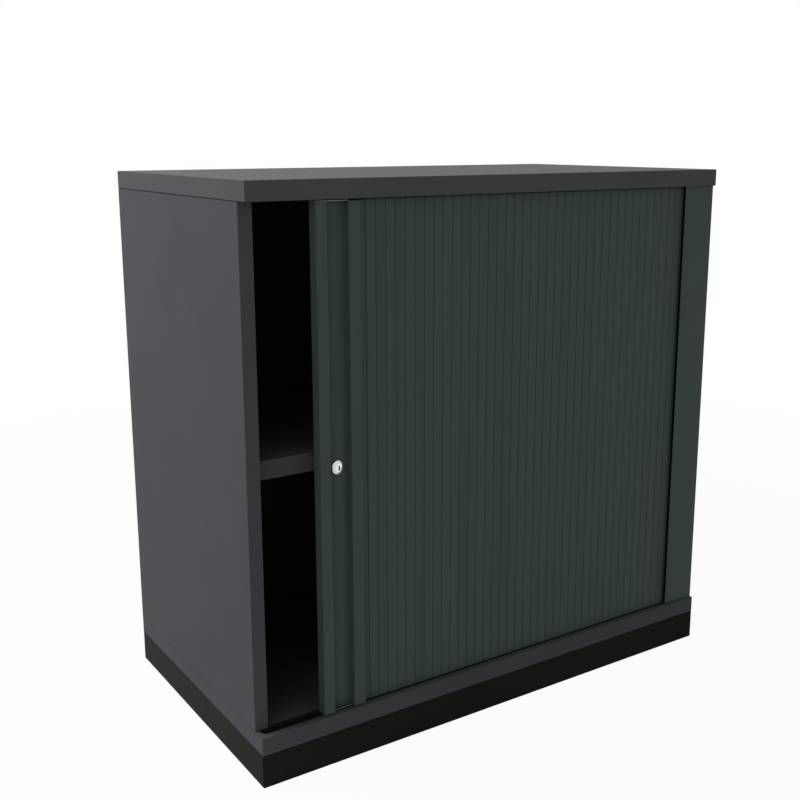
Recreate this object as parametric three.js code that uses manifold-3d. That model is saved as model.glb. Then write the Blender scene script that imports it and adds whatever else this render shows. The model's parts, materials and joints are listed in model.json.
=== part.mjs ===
// Tambour door cabinet: a low office cabinet whose slatted door slides sideways round the right side.
// Millimetres, +X to the right, +Y to the back, +Z up. The origin is the middle of the footprint.
import * as THREE from 'three';
import { mergeVertices } from 'three/addons/utils/BufferGeometryUtils.js';
import Module from 'manifold-3d';

const wasm = await Module();
wasm.setup();

// Driving dimensions of the carcass
const width = 800;
const depth = 440;
const height = 782;
const slabThickness = 25;
const sideThickness = 19;
const backThickness = 16;
const plinthHeight = 46;
const plinthThickness = 18;
const slabOverhang = 21.5;
const backInset = 1;
const seam = 0.3;
const overrun = 2;

// Tambour curtain: slats hooked side by side, running on edge in the slabs
const slatPitch = 15;
const slatGap = 1.8;
const slatThickness = 9;
const slatWeb = 1.2;
const tailSlats = 10;
const runningGap = 0.5;

// Track channels let into both slabs
const trackDepth = 9;
const trackFloor = 2;
const trackFrontWall = 1.5;
const trackRearWall = 4;
const trackLip = 0.8;
const slotClearance = 1.5;
const tipClearance = 0.5;
const bendRadius = 30;
const trackStartInset = 14;
const rearRunLength = 313;
const stopLength = 20;

// Leading profile: the slat with the finger grip and the lock
const doorAjar = 94.5;
const closedMargin = 0.5;
const firstRidgeWidth = 15.5;
const gripWidth = 31;
const secondRidgeWidth = 17;
const marginWidth = 11.2;
const ridgeRise = 7.5;
const gripSink = 3;
const profileWall = 2.2;
const profileEndGap = 1;
const profileTopGap = 2.5;
const endPlateThickness = 1.1;
const gliderInset = 10;
const gliderSlack = 0.5;
const gliderStud = 18;

// Cover that hides the bend at the right
const coverWidth = 60;
const coverFlange = 6;
const coverWall = 1.2;
const coverRunningGap = 1;
const coverLeg = 16;
const sealWidth = 6;

// Boards inside
const partitionThickness = 12;
const partitionGap = 4.2;
const partitionSetback = 10.5;
const screenThickness = 6;
const screenGap = 3.2;
const shelfThickness = 25;
const shelfRise = 19;
const shelfFrontInset = 30.5;
const shelfBackGap = 0.5;
const shelfPinSlack = 0.3;
const edgeStripThickness = 1;

// Shelf pins and their rows of holes
const pinRadius = 2.5;
const pinSunk = 8;
const pinProud = 9;
const pinCollarRadius = 4;
const pinCollarThickness = 1;
const pinHoleRadius = 2.75;
const pinHoleDepth = 9;
const pinRowInset = 45;
const pinPitch = 32;
const pinHolesEachWay = 2;

// Dowels between sides and slabs
const dowelRadius = 4;
const dowelLength = 30;
const dowelSunk = 12;
const dowelHoleRadius = 4.3;
const dowelInset = 60;

// Lock in the leading profile
const lockDrop = 2;
const barrelRadius = 7.6;
const barrelBore = 6.5;
const barrelHoleRadius = 8;
const roseRadius = 9.25;
const roseThickness = 1.8;
const roseDome = 2.4;
const roseEdge = 0.3;
const roseBevel = 0.6;
const barrelTail = 3.4;
const plugRadius = 6.2;
const plugProud = 0.6;
const keywayWidth = 2.2;
const keywayHeight = 7;
const keywayDepth = 5;
const nutRadius = 10;
const nutThickness = 2.2;
const camThickness = 2.2;
const camHubRadius = 4.2;
const camClaw = 3;
const camClawGap = 0.6;
const camClawRise = 9;
const camArmHalf = 2.8;
const camBoreRadius = 2.1;
const plugSpigotRadius = 1.8;
const camScrewRadius = 3.4;
const camScrewHead = 1.6;

// Keep: a slotted plate let into the left side, with a pocket behind it for the cam's claw
const keepThickness = 1.5;
const keepWidth = 14;
const keepFrontInset = 1;
const keepClearance = 0.5;
const keepScrewRadius = 1.2;
const keepScrewHead = 2.2;
const keepScrewHeadThickness = 1.2;
const keepScrewLength = 14;
const keepScrewInset = 5;
const keepScrewClearance = 0.2;

// Levelling feet under the base slab
const footInsetX = 128;
const footInsetY = 55;
const footRadius = 17;
const footThickness = 6;
const footRim = 4;
const footHubRadius = 8;
const footRodRadius = 4;
const footRodTop = 60;
const footHoleRadius = 6;
const socketSize = 44;
const socketThickness = 14;
const socketBore = 4.4;
const capRadius = 9;
const capThickness = 1.5;
const capStem = 6;
const capStemRadius = 5.6;

// Fineness of round pieces, in sides
const bendSteps = 8;
const pinSides = 10;
const holeSides = 12;
const lockSides = 32;
const footSides = 20;
const hexSides = 6;

// Levels and faces that follow
const leftX = -width / 2;
const rightX = width / 2;
const frontY = -depth / 2;
const backY = depth / 2;
const baseTop = plinthHeight + slabThickness;
const topUnder = height - slabThickness;
const doorMiddle = (baseTop + topUnder) / 2;
const sideFrontY = frontY + slabOverhang;
const sideInnerX = width / 2 - sideThickness;
const backFrontY = backY - backInset - backThickness;
const slatBackY = sideFrontY - runningGap;
const slatFrontY = slatBackY - slatThickness;
const runY = slatBackY - slatThickness / 2;
const slotHalf = slatThickness / 2 + slotClearance;
const slotDepth = trackDepth - trackFloor;
const slatTip = slotDepth - tipClearance;
const sideRunX = sideInnerX - seam - trackFrontWall - slotHalf;
const bendX = sideRunX - bendRadius;
const rearRunY = backFrontY - seam - trackFrontWall - slotHalf;
const trackStartX = leftX + trackStartInset;
const rearRunEndX = bendX - rearRunLength;
const profileLeft = leftX + closedMargin + doorAjar;
const gripLeft = profileLeft + firstRidgeWidth;
const gripRight = gripLeft + gripWidth;
const marginLeft = gripRight + secondRidgeWidth;
const profileRight = marginLeft + marginWidth;
const ridgeFrontY = slatFrontY - ridgeRise;
const gripFloorY = slatFrontY + gripSink;
const profileBottom = baseTop + profileEndGap;
const profileTop = topUnder - profileTopGap;
const curtainStart = profileRight + seam;
const frontSlats = Math.round((rightX - coverWidth - curtainStart) / slatPitch);
const partitionRight = sideRunX - slotHalf - trackRearWall - partitionGap;
const partitionLeft = partitionRight - partitionThickness;
const partitionFrontY = slatBackY + partitionSetback;
const screenBackY = rearRunY - slotHalf - trackRearWall - screenGap;
const screenFrontY = screenBackY - screenThickness;
const shelfTop = doorMiddle + shelfRise;
const shelfUnder = shelfTop - shelfThickness;
const shelfSideGap = seam + pinCollarThickness + shelfPinSlack;
const shelfFrontY = frontY + shelfFrontInset;
const shelfBackY = screenFrontY - shelfBackGap;
const lockX = (gripLeft + gripRight) / 2;
const lockHeight = doorMiddle - lockDrop;
const barrelBackY = slatBackY + barrelTail;
const camFrontY = barrelBackY + seam;
const camBackY = camFrontY + camThickness;

const cabinet = new THREE.Group();

// Colours and finishes of the materials
const finishes = {
  board: { color: 0x47474d, roughness: 0.55, metalness: 0 },
  inside: { color: 0x3a3a40, roughness: 0.6, metalness: 0 },
  plinth: { color: 0x1d1d1b, roughness: 0.6, metalness: 0 },
  slat: { color: 0x35423e, roughness: 0.5, metalness: 0 },
  track: { color: 0x121214, roughness: 0.5, metalness: 0 },
  endPlate: { color: 0x80827d, roughness: 0.5, metalness: 0 },
  rubber: { color: 0x18181a, roughness: 0.85, metalness: 0 },
  chrome: { color: 0xdfe1e3, roughness: 0.12, metalness: 1 },
  steel: { color: 0x9fa2a5, roughness: 0.35, metalness: 1 },
  wood: { color: 0xc49a63, roughness: 0.7, metalness: 0 },
};

function piece(name, finish, geometry) {
  const mesh = new THREE.Mesh(geometry, new THREE.MeshStandardMaterial(finishes[finish]));
  mesh.name = name;
  cabinet.add(mesh);
  return mesh;
}

// Booleans
function solid(geometry) {
  const plain = geometry.clone();
  plain.deleteAttribute('normal');
  plain.deleteAttribute('uv');
  const merged = mergeVertices(plain);
  return new wasm.Manifold(new wasm.Mesh({
    numProp: 3,
    vertProperties: new Float32Array(merged.attributes.position.array),
    triVerts: new Uint32Array(merged.index.array),
  }));
}

function surface(body) {
  const mesh = body.getMesh();
  const geometry = new THREE.BufferGeometry();
  geometry.setAttribute('position', new THREE.BufferAttribute(mesh.vertProperties, 3));
  geometry.setIndex(new THREE.BufferAttribute(mesh.triVerts, 1));
  geometry.computeVertexNormals();
  return geometry;
}

function cut(geometry, ...tools) {
  let body = solid(geometry);
  for (const tool of tools) {
    body = body.subtract(solid(tool));
  }
  return surface(body);
}

function join(geometry, ...others) {
  let body = solid(geometry);
  for (const other of others) {
    body = body.add(solid(other));
  }
  return surface(body);
}

// Basic shapes, placed by their faces
function block(x0, x1, y0, y1, z0, z1) {
  const geometry = new THREE.BoxGeometry(x1 - x0, y1 - y0, z1 - z0);
  geometry.translate((x0 + x1) / 2, (y0 + y1) / 2, (z0 + z1) / 2);
  return geometry;
}

function prism(points, z0, z1, holes = []) {
  const shape = new THREE.Shape(points);
  for (const hole of holes) {
    shape.holes.push(new THREE.Path(hole));
  }
  const geometry = new THREE.ExtrudeGeometry(shape, { depth: z1 - z0, bevelEnabled: false });
  geometry.translate(0, 0, z0);
  return geometry;
}

// A prism whose outline lies in X and Z, from y0 to y1
function prismAlongY(points, y0, y1) {
  const geometry = prism(points, 0, y1 - y0);
  geometry.rotateX(Math.PI / 2);
  geometry.translate(0, y1, 0);
  return geometry;
}

function rodAlongZ(x, y, radius, z0, z1, sides) {
  const geometry = new THREE.CylinderGeometry(radius, radius, z1 - z0, sides);
  geometry.rotateX(Math.PI / 2);
  geometry.translate(x, y, (z0 + z1) / 2);
  return geometry;
}

function rodAlongY(x, z, radius, y0, y1, sides) {
  const geometry = new THREE.CylinderGeometry(radius, radius, y1 - y0, sides);
  geometry.translate(x, (y0 + y1) / 2, z);
  return geometry;
}

function rodAlongX(y, z, radius, x0, x1, sides) {
  const geometry = new THREE.CylinderGeometry(radius, radius, x1 - x0, sides);
  geometry.rotateZ(Math.PI / 2);
  geometry.translate((x0 + x1) / 2, y, z);
  return geometry;
}

function points(...pairs) {
  return pairs.map(([x, y]) => new THREE.Vector2(x, y));
}

function arc(x, y, radius, from, to, steps) {
  const found = [];
  for (let step = 0; step <= steps; step += 1) {
    const angle = from + (to - from) * step / steps;
    found.push(new THREE.Vector2(x + radius * Math.cos(angle), y + radius * Math.sin(angle)));
  }
  return found;
}

function rectangle(x0, x1, y0, y1) {
  return points([x0, y0], [x1, y0], [x1, y1], [x0, y1]);
}

// The mirror height: what is at z above the base slab is at this height under the top slab
function mirrorZ(z) {
  return baseTop + topUnder - z;
}

// A band that follows the track, from outer to inner offset about the slats' centre line
function trackBand(outer, inner, startX, endX) {
  const quarter = Math.PI / 2;
  const frontBendY = runY + bendRadius;
  const rearBendY = rearRunY - bendRadius;
  const large = bendRadius + outer;
  const small = bendRadius - inner;
  const endY = runY + (inner - outer) / 2;
  const endRadius = (inner + outer) / 2;
  return [
    ...arc(bendX, frontBendY, large, -quarter, 0, bendSteps),
    ...arc(bendX, rearBendY, large, 0, quarter, bendSteps),
    new THREE.Vector2(endX, rearRunY + outer),
    new THREE.Vector2(endX, rearRunY - inner),
    ...arc(bendX, rearBendY, small, quarter, 0, bendSteps),
    ...arc(bendX, frontBendY, small, 0, -quarter, bendSteps),
    ...arc(startX, endY, endRadius, quarter, 3 * quarter, bendSteps),
  ];
}

// Where the curtain's centre line is at a length s, moved out by an offset
function curtainPoint(s, offset) {
  const turn = (s - bendX) / bendRadius;
  if (turn <= 0) {
    return new THREE.Vector2(s, runY - offset);
  }
  if (turn < Math.PI / 2) {
    const radius = bendRadius + offset;
    return new THREE.Vector2(bendX + radius * Math.sin(turn), runY + bendRadius - radius * Math.cos(turn));
  }
  const beyond = s - bendX - bendRadius * Math.PI / 2;
  return new THREE.Vector2(sideRunX + offset, runY + bendRadius + beyond);
}

// Slats joined by a thin web along their back, as one flexible sheet
function curtain(start, count) {
  const out = slatThickness / 2;
  const face = [];
  const back = [];
  for (let slat = 0; slat < count; slat += 1) {
    const from = start + slat * slatPitch + slatGap / 2;
    const to = from + slatPitch - slatGap;
    face.push(curtainPoint(from, slatWeb - out), curtainPoint(from, out));
    face.push(curtainPoint(to, out), curtainPoint(to, slatWeb - out));
    back.unshift(curtainPoint(to, -out), curtainPoint(from, -out));
  }
  const end = start + count * slatPitch - seam;
  const ends = [curtainPoint(end, slatWeb - out), curtainPoint(end, -out)];
  const starts = [curtainPoint(start, -out), curtainPoint(start, slatWeb - out)];
  return prism([...face, ...ends, ...back, ...starts], baseTop - slatTip, topUnder + slatTip);
}

const footPlaces = [];
for (const [alongX, sideName] of [[-1, 'left'], [1, 'right']]) {
  for (const [alongY, endName] of [[-1, 'front'], [1, 'rear']]) {
    footPlaces.push({
      name: `${endName}_${sideName}`,
      x: alongX * (width / 2 - footInsetX),
      y: alongY * (depth / 2 - footInsetY),
    });
  }
}

const dowelPlaces = [];
for (const [alongX, sideName] of [[-1, 'left'], [1, 'right']]) {
  for (const [alongY, endName] of [[-1, 'front'], [1, 'rear']]) {
    dowelPlaces.push({
      name: `${endName}_${sideName}`,
      x: alongX * (sideInnerX + sideThickness / 2),
      y: alongY * (depth / 2 - dowelInset),
    });
  }
}

// Slabs: each has a pocket for its track and blind holes for the dowels
function trackPocket(z0, z1) {
  const outer = slotHalf + trackFrontWall + seam;
  const inner = slotHalf + trackRearWall + seam;
  return prism(trackBand(outer, inner, trackStartX, rearRunEndX - seam), z0, z1);
}

function dowelHoles(z0, z1) {
  return dowelPlaces.map(({ x, y }) => rodAlongZ(x, y, dowelHoleRadius, z0, z1, holeSides));
}

const slabHole = dowelSunk + seam;

function topPanel() {
  return cut(
    block(leftX, rightX, frontY, backY, topUnder, height),
    trackPocket(topUnder - overrun, topUnder + trackDepth + seam),
    ...dowelHoles(topUnder - overrun, topUnder + slabHole),
  );
}

function basePanel() {
  const capSeat = capRadius + seam;
  return cut(
    block(leftX, rightX, frontY, backY, plinthHeight, baseTop),
    trackPocket(baseTop - trackDepth - seam, baseTop + overrun),
    ...dowelHoles(baseTop - slabHole, baseTop + overrun),
    ...footPlaces.map(({ x, y }) => rodAlongZ(
      x, y, footHoleRadius, plinthHeight - overrun, baseTop + overrun, holeSides,
    )),
    ...footPlaces.map(({ x, y }) => rodAlongZ(
      x, y, capSeat, baseTop - capThickness - seam, baseTop + overrun, footSides,
    )),
  );
}

// Places of the shelf pins, and the rows of holes that let the shelf move
const pinZ = shelfUnder - seam - pinRadius;
const pinRows = [shelfFrontY + pinRowInset, shelfBackY - pinRowInset];

function pinHoles(faceX, deepX) {
  const holes = [];
  for (const y of pinRows) {
    for (let step = -pinHolesEachWay; step <= pinHolesEachWay; step += 1) {
      const z = pinZ + step * pinPitch;
      holes.push(rodAlongX(y, z, pinHoleRadius, Math.min(faceX, deepX), Math.max(faceX, deepX), pinSides));
    }
  }
  return holes;
}

// Side panels stand between the slabs
const boardBottom = baseTop + seam;
const boardTop = topUnder - seam;
const boardHole = dowelLength - dowelSunk + seam;

function sidePanel(x0, x1, holes) {
  return cut(
    block(x0, x1, sideFrontY, backY, boardBottom, boardTop),
    ...dowelHoles(boardBottom - overrun, baseTop + boardHole),
    ...dowelHoles(topUnder - boardHole, boardTop + overrun),
    ...holes,
  );
}

// The keep is level with the lock. When the door is shut, the cam's claw swings in through its slot
const lockToSide = lockX - doorAjar + sideInnerX;
const camReach = lockToSide + keepThickness + camClawGap + camClaw;
const camSweep = Math.hypot(camReach, camClawRise);
const keepFaceX = -sideInnerX;
const keepSeatX = keepFaceX - keepThickness;
const keepFrontY = sideFrontY + keepFrontInset;
const keepBackY = keepFrontY + keepWidth;
const keepMidY = (keepFrontY + keepBackY) / 2;
const keepSlotTop = lockHeight + camArmHalf + keepClearance;
const keepSlotBottom = lockHeight - Math.sqrt(camSweep ** 2 - lockToSide ** 2) - keepClearance;
const keepScrewHeights = [keepSlotBottom - keepScrewInset, shelfTop + keepScrewInset];
const keepBottom = keepScrewHeights[0] - keepScrewInset;
const keepTop = keepScrewHeights[1] + keepScrewInset;

function keepScrewHoles(x0, x1) {
  const radius = keepScrewRadius + keepScrewClearance;
  return keepScrewHeights.map((z) => rodAlongX(keepMidY, z, radius, x0, x1, holeSides));
}

function keepSlot(x0, x1, topZ) {
  return block(x0, x1, camFrontY - keepClearance, camBackY + keepClearance, keepSlotBottom, topZ);
}

function leftSidePanel() {
  const faceX = keepFaceX + overrun;
  const pocketX = keepFaceX - (camSweep - lockToSide) - keepClearance;
  return sidePanel(leftX, keepFaceX, [
    ...pinHoles(faceX, keepFaceX - pinHoleDepth),
    ...keepScrewHoles(keepFaceX - keepScrewLength - seam, faceX),
    block(keepSeatX - seam, faceX, keepFrontY - seam, keepBackY + seam, keepBottom - seam, keepTop + seam),
    keepSlot(pocketX, faceX, lockHeight + camClawRise + keepClearance),
  ]);
}

function lockKeep() {
  return cut(
    block(keepSeatX, keepFaceX, keepFrontY, keepBackY, keepBottom, keepTop),
    keepSlot(keepSeatX - overrun, keepFaceX + overrun, keepSlotTop),
    ...keepScrewHoles(keepSeatX - overrun, keepFaceX + overrun),
  );
}

function keepScrew(z) {
  const headX = keepFaceX + seam;
  return join(
    rodAlongX(
      keepMidY, z, keepScrewRadius,
      keepFaceX - keepScrewLength, headX + keepScrewHeadThickness / 2, holeSides,
    ),
    rodAlongX(keepMidY, z, keepScrewHead, headX, headX + keepScrewHeadThickness, holeSides),
  );
}

// Tracks: plastic channels flush with the slabs
function track(z0, z1, slotFrom, slotTo) {
  const outer = slotHalf + trackFrontWall;
  const inner = slotHalf + trackRearWall;
  return cut(
    prism(trackBand(outer, inner, trackStartX, rearRunEndX), z0, z1),
    prism(trackBand(slotHalf, slotHalf, trackStartX, rearRunEndX - overrun), slotFrom, slotTo),
  );
}

// The upper track's front wall hangs below the slab, in front of the slats' upper ends
function upperTrack() {
  const wallBackY = runY - slotHalf;
  return join(
    track(topUnder, topUnder + trackDepth, topUnder - overrun, topUnder + slotDepth),
    block(
      trackStartX, rightX - coverWidth - seam,
      wallBackY - trackFrontWall, wallBackY, topUnder - trackLip, topUnder + trackFloor,
    ),
  );
}

function trackStop(z0, z1) {
  const half = slotHalf - seam;
  return block(rearRunEndX, rearRunEndX + stopLength, rearRunY - half, rearRunY + half, z0, z1);
}

// Leading profile: two hollow ridges with the finger grip between them
function leadingProfile() {
  const outline = points(
    [profileLeft, slatBackY],
    [profileLeft, ridgeFrontY],
    [gripLeft, ridgeFrontY],
    [gripLeft, gripFloorY],
    [gripRight, gripFloorY],
    [gripRight, ridgeFrontY],
    [marginLeft, ridgeFrontY],
    [marginLeft, slatFrontY],
    [profileRight, slatFrontY],
    [profileRight, slatBackY],
  );
  const front = ridgeFrontY + profileWall;
  const back = slatBackY - profileWall;
  const hollows = [
    rectangle(profileLeft + profileWall, gripLeft - profileWall, front, back),
    rectangle(gripRight + profileWall, marginLeft - profileWall, front, back),
  ];
  return cut(
    prism(outline, profileBottom, profileTop, hollows),
    rodAlongY(lockX, lockHeight, barrelHoleRadius, gripFloorY - overrun, slatBackY + overrun, lockSides),
  );
}

// Gliders close the profile's ends and carry it in the tracks
function glider(tipZ, plateZ, studZ) {
  const y0 = slatFrontY + gliderSlack;
  const y1 = slatBackY - gliderSlack;
  const front = ridgeFrontY + profileWall + seam;
  const back = slatBackY - profileWall - seam;
  const low = Math.min(plateZ, studZ);
  const high = Math.max(plateZ, studZ);
  const lap = profileWall / 2 * Math.sign(plateZ - studZ);
  const studLow = lap < 0 ? low + lap : low;
  const studHigh = lap > 0 ? high + lap : high;
  return join(
    block(
      profileLeft + gliderInset, profileRight - gliderSlack,
      y0, y1, Math.min(tipZ, plateZ), Math.max(tipZ, plateZ),
    ),
    block(
      profileLeft + gliderInset, gripLeft - profileWall - seam,
      Math.max(front, y0), back, studLow, studHigh,
    ),
    block(
      gripRight + profileWall + seam, marginLeft - profileWall - seam,
      Math.max(front, y0), back, studLow, studHigh,
    ),
  );
}

// A plate closes the profile's upper end over the first ridge and the grip
function endPlate() {
  const z0 = profileTop + seam;
  const z1 = z0 + endPlateThickness;
  return cut(
    block(profileLeft, gripRight - seam, ridgeFrontY + seam, slatBackY - seam, z0, z1),
    block(
      profileLeft + gliderInset - seam, gripLeft - profileWall,
      slatFrontY, slatBackY - profileWall, z0 - overrun, z1 + overrun,
    ),
  );
}

// Lock: a domed barrel, its turning plug, a nut behind the profile and a hook-shaped cam
const roseBackY = gripFloorY - seam;
const roseFrontY = roseBackY - roseThickness;
const domeY = roseFrontY - roseDome;
const spigotBackY = camBackY + seam;

function lockHousing() {
  const geometry = new THREE.LatheGeometry(points(
    [barrelBore, domeY],
    [barrelRadius, domeY + roseEdge],
    [roseRadius - roseEdge, roseFrontY - roseEdge],
    [roseRadius, roseFrontY + roseBevel],
    [roseRadius, roseBackY],
    [barrelRadius, roseBackY],
    [barrelRadius, barrelBackY],
    [barrelBore, barrelBackY],
    [barrelBore, domeY],
  ), lockSides);
  geometry.translate(lockX, 0, lockHeight);
  return geometry;
}

function lockCylinder() {
  const plugFrontY = domeY - plugProud;
  const body = join(
    rodAlongY(lockX, lockHeight, plugRadius, plugFrontY, barrelBackY, lockSides),
    rodAlongY(lockX, lockHeight, plugSpigotRadius, barrelBackY - overrun, spigotBackY, holeSides),
  );
  return cut(body, block(
    lockX - keywayWidth / 2, lockX + keywayWidth / 2,
    plugFrontY - overrun, plugFrontY + keywayDepth,
    lockHeight - keywayHeight / 2, lockHeight + keywayHeight / 2,
  ));
}

function lockNut() {
  const nutFrontY = slatBackY + seam;
  const nutBackY = nutFrontY + nutThickness;
  return cut(
    rodAlongY(lockX, lockHeight, nutRadius, nutFrontY, nutBackY, hexSides),
    rodAlongY(lockX, lockHeight, barrelHoleRadius, nutFrontY - overrun, nutBackY + overrun, lockSides),
  );
}

// The cam hangs down when it is unlocked, and its claw turns out to the left
function lockCam() {
  const x = lockX;
  const z = lockHeight;
  const arm = prismAlongY(points(
    [x - camArmHalf, z],
    [x - camArmHalf, z - camReach + camClaw],
    [x - camClawRise, z - camReach + camClaw],
    [x - camClawRise, z - camReach],
    [x + camArmHalf, z - camReach],
    [x + camArmHalf, z],
  ), camFrontY, camBackY);
  const hub = rodAlongY(x, z, camHubRadius, camFrontY, camBackY, lockSides);
  const bore = rodAlongY(x, z, camBoreRadius, camFrontY - overrun, camBackY + overrun, holeSides);
  return cut(join(arm, hub), bore);
}

function camScrew() {
  const y = spigotBackY + seam;
  return rodAlongY(lockX, lockHeight, camScrewRadius, y, y + camScrewHead, holeSides);
}

// Levelling feet, the sockets that hold them and the caps over the adjusting holes
function foot(x, y) {
  const geometry = new THREE.LatheGeometry(points(
    [0, 0],
    [footRadius, 0],
    [footRadius, footRim],
    [footHubRadius, footThickness],
    [footRodRadius, footThickness],
    [footRodRadius, footRodTop],
    [0, footRodTop],
  ), footSides);
  geometry.rotateX(Math.PI / 2);
  geometry.translate(x, y, 0);
  return geometry;
}

function footSocket(x, y) {
  const half = socketSize / 2;
  const z1 = plinthHeight - seam;
  const z0 = z1 - socketThickness;
  return cut(
    block(x - half, x + half, y - half, y + half, z0, z1),
    rodAlongZ(x, y, socketBore, z0 - overrun, z1 + overrun, footSides),
  );
}

function adjusterCap(x, y) {
  return join(
    rodAlongZ(x, y, capRadius, baseTop - capThickness, baseTop, footSides),
    rodAlongZ(x, y, capStemRadius, baseTop - capThickness - capStem, baseTop - capThickness / 2, holeSides),
  );
}

// Cover: a thin-walled channel whose rear leg is fixed to the right side's front edge
const coverBackY = slatFrontY - coverRunningGap;
const coverFrontY = coverBackY - coverFlange;

function coverPanel() {
  const legBackY = sideFrontY - seam;
  return prism(points(
    [rightX - coverWidth, coverFrontY],
    [rightX, coverFrontY],
    [rightX, legBackY],
    [rightX - coverLeg, legBackY],
    [rightX - coverLeg, legBackY - coverWall],
    [rightX - coverWall, legBackY - coverWall],
    [rightX - coverWall, coverFrontY + coverWall],
    [rightX - coverWidth, coverFrontY + coverWall],
  ), boardBottom, boardTop);
}

// A black lip behind the cover's edge keeps light and dust off the bend
function coverSeal() {
  return block(
    rightX - coverWidth, rightX - coverWidth + sealWidth,
    coverFrontY + coverWall + seam, coverBackY, boardBottom, boardTop,
  );
}

function shelfPin(faceX, inward, y) {
  const tip = faceX - inward * pinSunk;
  const end = faceX + inward * pinProud;
  const collar = faceX + inward * (seam + pinCollarThickness);
  const collarStart = faceX + inward * seam;
  return join(
    rodAlongX(y, pinZ, pinRadius, Math.min(tip, end), Math.max(tip, end), pinSides),
    rodAlongX(
      y, pinZ, pinCollarRadius,
      Math.min(collarStart, collar), Math.max(collarStart, collar), pinSides,
    ),
  );
}

// Carcass
piece('top_panel', 'board', topPanel());
piece('base_panel', 'board', basePanel());
piece('left_side_panel', 'board', leftSidePanel());
piece('right_side_panel', 'board', sidePanel(sideInnerX, rightX, []));
piece('back_panel', 'board', block(
  -sideInnerX + seam, sideInnerX - seam,
  backFrontY, backFrontY + backThickness, boardBottom, boardTop,
));
piece('inner_partition', 'inside', cut(
  block(partitionLeft, partitionRight, partitionFrontY, screenBackY, boardBottom, boardTop),
  ...pinHoles(partitionLeft - overrun, partitionLeft + pinHoleDepth),
));
piece('rear_screen', 'inside', block(
  -sideInnerX + seam, partitionLeft - seam,
  screenFrontY, screenBackY, boardBottom, boardTop,
));

// Plinth frame, mitred at its corners
const plinthTop = plinthHeight - seam;
const plinthInnerX = width / 2 - plinthThickness;
const plinthSideEndY = depth / 2 - seam * Math.SQRT2;
const plinthMitreY = plinthSideEndY - plinthThickness;
for (const [end, y] of [['front', frontY], ['rear', backY]]) {
  const innerY = y - Math.sign(y) * plinthThickness;
  piece(`plinth_${end}`, 'plinth', prism(points(
    [leftX, y], [rightX, y], [plinthInnerX, innerY], [-plinthInnerX, innerY],
  ), 0, plinthTop));
}
for (const [side, x] of [['left', leftX], ['right', rightX]]) {
  const innerX = x - Math.sign(x) * plinthThickness;
  piece(`plinth_${side}`, 'plinth', prism(points(
    [x, -plinthSideEndY], [x, plinthSideEndY], [innerX, plinthMitreY], [innerX, -plinthMitreY],
  ), 0, plinthTop));
}

// Dowels
for (const { name, x, y } of dowelPlaces) {
  const lowStart = baseTop - dowelSunk;
  const highEnd = topUnder + dowelSunk;
  const baseDowel = rodAlongZ(x, y, dowelRadius, lowStart, lowStart + dowelLength, holeSides);
  const topDowel = rodAlongZ(x, y, dowelRadius, highEnd - dowelLength, highEnd, holeSides);
  piece(`base_dowel_${name}`, 'wood', baseDowel);
  piece(`top_dowel_${name}`, 'wood', topDowel);
}

// Tracks and what runs in them
piece('lower_track', 'track', track(
  baseTop - trackDepth, baseTop, baseTop - slotDepth, baseTop + overrun,
));
piece('upper_track', 'track', upperTrack());
piece('lower_track_stop', 'rubber', trackStop(baseTop - slotDepth + seam, baseTop));
piece('upper_track_stop', 'rubber', trackStop(topUnder, topUnder + slotDepth - seam));
piece('cover_panel', 'slat', coverPanel());
piece('cover_seal', 'rubber', coverSeal());
piece('curtain_front', 'slat', curtain(curtainStart, frontSlats));
piece('curtain_tail', 'slat', curtain(curtainStart + frontSlats * slatPitch, tailSlats));
piece('leading_profile', 'slat', leadingProfile());
const plateGap = profileEndGap - seam;
piece('lower_glider', 'track', glider(
  baseTop - slatTip, baseTop + plateGap, profileBottom + gliderStud,
));
piece('profile_end_plate', 'endPlate', endPlate());
piece('upper_glider', 'track', glider(
  mirrorZ(baseTop - slatTip), mirrorZ(baseTop + plateGap), mirrorZ(profileBottom + gliderStud),
));

// Lock
piece('lock_housing', 'chrome', lockHousing());
piece('lock_cylinder', 'chrome', lockCylinder());
piece('lock_nut', 'steel', lockNut());
piece('lock_cam', 'steel', lockCam());
piece('lock_cam_screw', 'steel', camScrew());
piece('lock_keep', 'steel', lockKeep());
keepScrewHeights.forEach((z, number) => {
  piece(`keep_screw_${number + 1}`, 'steel', keepScrew(z));
});

// Shelf
piece('shelf', 'inside', block(
  -sideInnerX + shelfSideGap, partitionLeft - shelfSideGap,
  shelfFrontY + edgeStripThickness + seam, shelfBackY, shelfUnder, shelfTop,
));
piece('shelf_edge_strip', 'inside', block(
  -sideInnerX + shelfSideGap, partitionLeft - shelfSideGap,
  shelfFrontY, shelfFrontY + edgeStripThickness, shelfUnder, shelfTop,
));
pinRows.forEach((y, row) => {
  const endName = row === 0 ? 'front' : 'rear';
  piece(`shelf_pin_${endName}_left`, 'steel', shelfPin(-sideInnerX, 1, y));
  piece(`shelf_pin_${endName}_right`, 'steel', shelfPin(partitionLeft, -1, y));
});

// Feet
for (const { name, x, y } of footPlaces) {
  piece(`foot_${name}`, 'steel', foot(x, y));
  piece(`foot_socket_${name}`, 'track', footSocket(x, y));
  piece(`adjuster_cap_${name}`, 'track', adjusterCap(x, y));
}

export default cabinet;
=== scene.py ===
# Tambour door cabinet: the finished looks of every board, slat and fitting.
# Metres, +X to the right, +Y to the back, +Z up, with the origin in the middle of the footprint.
import contextlib
import json
import math
import random

import bmesh
import bpy
from mathutils import Matrix, Vector

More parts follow.
